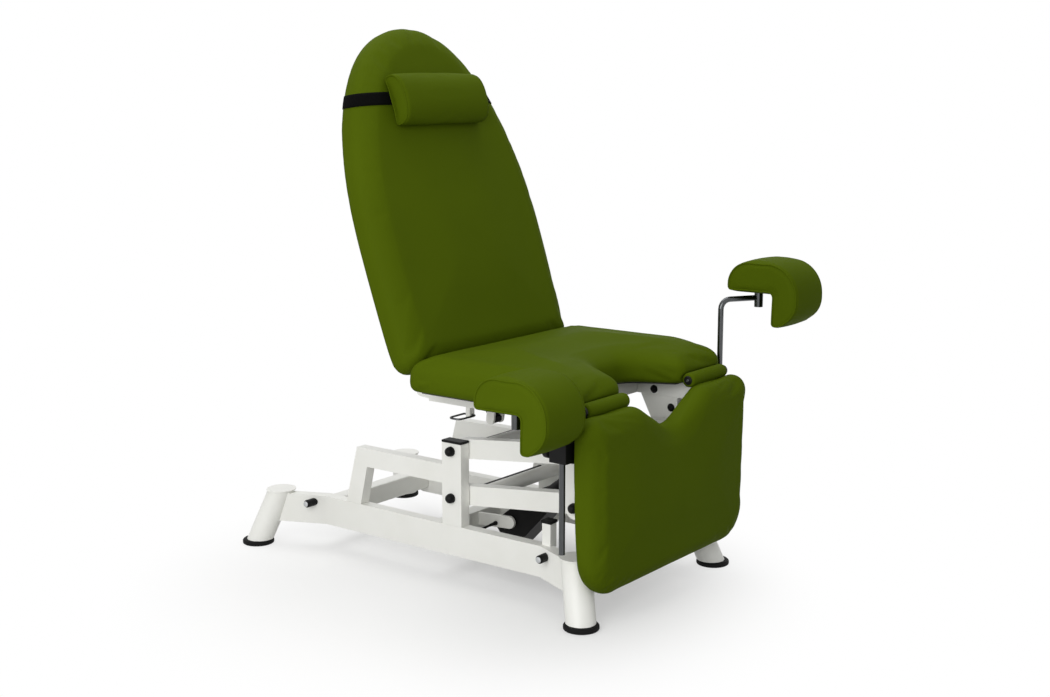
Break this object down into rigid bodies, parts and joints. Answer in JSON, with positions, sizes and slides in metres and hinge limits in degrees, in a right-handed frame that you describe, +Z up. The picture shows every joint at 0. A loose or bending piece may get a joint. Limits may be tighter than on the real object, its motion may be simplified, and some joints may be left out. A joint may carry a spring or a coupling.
{
  "type": "gynecological examination chair",
  "caption": "Padded examination chair on a steel base with an electric parallel-arm lift, reclining backrest, leg flap, head pillow and height-adjustable knee stirrups",
  "frame": {"origin": "on the floor, at the middle of the bounding box", "axes": "+Z up, -Y the front where the leg flap hangs, -X the patient's right"},
  "size_m": [0.973, 1.2516, 1.3231],
  "materials": {
    "white_steel": "white powder coat",
    "bright_steel": "bright plated",
    "plated_steel": "dull zinc plate",
    "black_plastic": "black, moulded",
    "rubber": "black",
    "green_vinyl": "olive green upholstery vinyl over foam",
    "plywood": "plain plywood",
    "black_elastic": "woven elastic"
  },
  "bodies": {
    "base": {"right_rail": "white_steel", "right_post": "white_steel", "right_post_cap": "black_plastic", "right_stop_pad": "rubber", "left_rail": "white_steel", "left_post": "white_steel", "left_post_cap": "black_plastic", "left_stop_pad": "rubber", "front_right_foot": "rubber", "front_right_peg": "black_plastic", "front_left_foot": "rubber", "front_left_peg": "black_plastic", "rear_right_foot": "rubber", "rear_right_peg": "black_plastic", "rear_left_foot": "rubber", "rear_left_peg": "black_plastic", "rear_crossbeam": "white_steel", "motor_crossbeam": "white_steel", "motor_lead": "rubber", "lower_rear_shaft": "black_plastic", "upper_rear_shaft": "black_plastic"},
    "lower_arms": {"lower_arms": "white_steel"},
    "upper_arms": {"upper_arms": "white_steel"},
    "carriage": {"right_upright": "white_steel", "right_seat_bar": "white_steel", "right_clamp": "plated_steel", "left_upright": "white_steel", "left_seat_bar": "white_steel", "left_clamp": "plated_steel", "lower_front_shaft": "black_plastic", "upper_front_shaft": "black_plastic", "front_seat_cross": "white_steel", "rear_seat_cross": "white_steel", "seat_board": "plywood", "seat_cushion": "green_vinyl"},
    "actuator": {"actuator_housing": "black_plastic"},
    "plunger": {"actuator_plunger": "bright_steel"},
    "backrest": {"backrest_frame": "white_steel", "backrest_board": "plywood", "backrest_cushion": "green_vinyl", "pillow_strap": "black_elastic", "head_pillow": "green_vinyl"},
    "gas_cylinder": {"gas_cylinder": "black_plastic"},
    "gas_rod": {"gas_rod": "bright_steel"},
    "flap": {"flap_board": "plywood", "flap_cushion": "green_vinyl", "right_flap_roll": "green_vinyl", "left_flap_roll": "green_vinyl"},
    "bail": {"release_bail": "bright_steel"},
    "right_swivel": {"right_bush": "black_plastic"},
    "right_rod": {"right_stirrup_rod": "bright_steel"},
    "right_pad": {"right_pad_mount": "black_plastic", "right_knee_pad": "green_vinyl"},
    "right_knob": {"right_clamp_knob": "black_plastic"},
    "left_swivel": {"left_bush": "black_plastic"},
    "left_rod": {"left_stirrup_rod": "bright_steel"},
    "left_pad": {"left_pad_mount": "black_plastic", "left_knee_pad": "green_vinyl"},
    "left_knob": {"left_clamp_knob": "black_plastic"}
  },
  "joints": [
    {"name": "lift", "type": "hinge", "parent": "base", "child": "lower_arms", "pos_m": [0, -0.01725, 0.207], "axis": [-1, 0, 0], "range_deg": [-2.5, 50]},
    {"name": "upper_arms_swing", "type": "hinge", "parent": "base", "child": "upper_arms", "pos_m": [0, -0.01725, 0.323], "axis": [-1, 0, 0], "range_deg": [-2.6, 50.1]},
    {"name": "carriage_level", "type": "hinge", "parent": "lower_arms", "child": "carriage", "pos_m": [0, -0.38012, 0.24642], "axis": [-1, 0, 0], "range_deg": [-50.1, 2.6]},
    {"name": "actuator_swing", "type": "hinge", "parent": "base", "child": "actuator", "pos_m": [0, -0.06525, 0.115], "axis": [-1, 0, 0], "range_deg": [-2.5, 36.5]},
    {"name": "plunger_swing", "type": "hinge", "parent": "carriage", "child": "plunger", "pos_m": [0, -0.38012, 0.36242], "axis": [-1, 0, 0], "range_deg": [-2.5, 36.5]},
    {"name": "backrest_tilt", "type": "hinge", "parent": "carriage", "child": "backrest", "pos_m": [0, 0.07775, 0.462], "axis": [-1, 0, 0], "range_deg": [0, 70]},
    {"name": "gas_cylinder_swing", "type": "hinge", "parent": "carriage", "child": "gas_cylinder", "pos_m": [0, 0.01475, 0.36], "axis": [-1, 0, 0], "range_deg": [-0.5, 50]},
    {"name": "gas_rod_swing", "type": "hinge", "parent": "backrest", "child": "gas_rod", "pos_m": [0, 0.20642, 0.6821], "axis": [-1, 0, 0], "range_deg": [-22, 0.5]},
    {"name": "flap_tilt", "type": "hinge", "parent": "carriage", "child": "flap", "pos_m": [0, -0.46325, 0.495], "axis": [-1, 0, 0], "range_deg": [0, 90]},
    {"name": "right_stirrup_swivel", "type": "hinge", "parent": "carriage", "child": "right_swivel", "pos_m": [-0.334, -0.43525, 0.41], "axis": [0, 0, 1], "range_deg": [-15, 20]},
    {"name": "right_stirrup_slide", "type": "slide", "parent": "right_swivel", "child": "right_rod", "axis": [0, 0, 1], "range_m": [-0.03, 0.19]},
    {"name": "right_pad_swivel", "type": "hinge", "parent": "right_rod", "child": "right_pad", "pos_m": [-0.4225, -0.37875, 0.519], "axis": [0, 0, 1], "range_deg": [-60, 0]},
    {"name": "right_knob_turn", "type": "hinge", "parent": "carriage", "child": "right_knob", "pos_m": [-0.334, -0.41325, 0.41], "axis": [0, 1, 0], "range_deg": [-90, 90]},
    {"name": "left_stirrup_swivel", "type": "hinge", "parent": "carriage", "child": "left_swivel", "pos_m": [0.334, -0.43525, 0.41], "axis": [0, 0, 1], "range_deg": [-20, 45]},
    {"name": "left_stirrup_slide", "type": "slide", "parent": "left_swivel", "child": "left_rod", "axis": [0, 0, 1], "range_m": [-0.1, 0.02]},
    {"name": "left_pad_swivel", "type": "hinge", "parent": "left_rod", "child": "left_pad", "pos_m": [0.4225, -0.49175, 0.69], "axis": [0, 0, 1], "range_deg": [-30, 60]},
    {"name": "left_knob_turn", "type": "hinge", "parent": "carriage", "child": "left_knob", "pos_m": [0.334, -0.41325, 0.41], "axis": [0, 1, 0], "range_deg": [-90, 90]},
    {"name": "bail_pull", "type": "hinge", "parent": "carriage", "child": "bail", "pos_m": [-0.19, -0.06025, 0.416], "axis": [0, 1, 0], "range_deg": [0, 15]}
  ],
  "couplings": [
    {"joint": "upper_arms_swing", "follows": "lift", "ratio": 1},
    {"joint": "carriage_level", "follows": "lift", "ratio": -1},
    {"joint": "actuator_swing", "follows": "lift", "ratio": 0.707},
    {"joint": "plunger_swing", "follows": "lift", "ratio": 0.707},
    {"joint": "gas_cylinder_swing", "follows": "backrest_tilt", "ratio": 0.7},
    {"joint": "gas_rod_swing", "follows": "backrest_tilt", "ratio": -0.3}
  ]
}
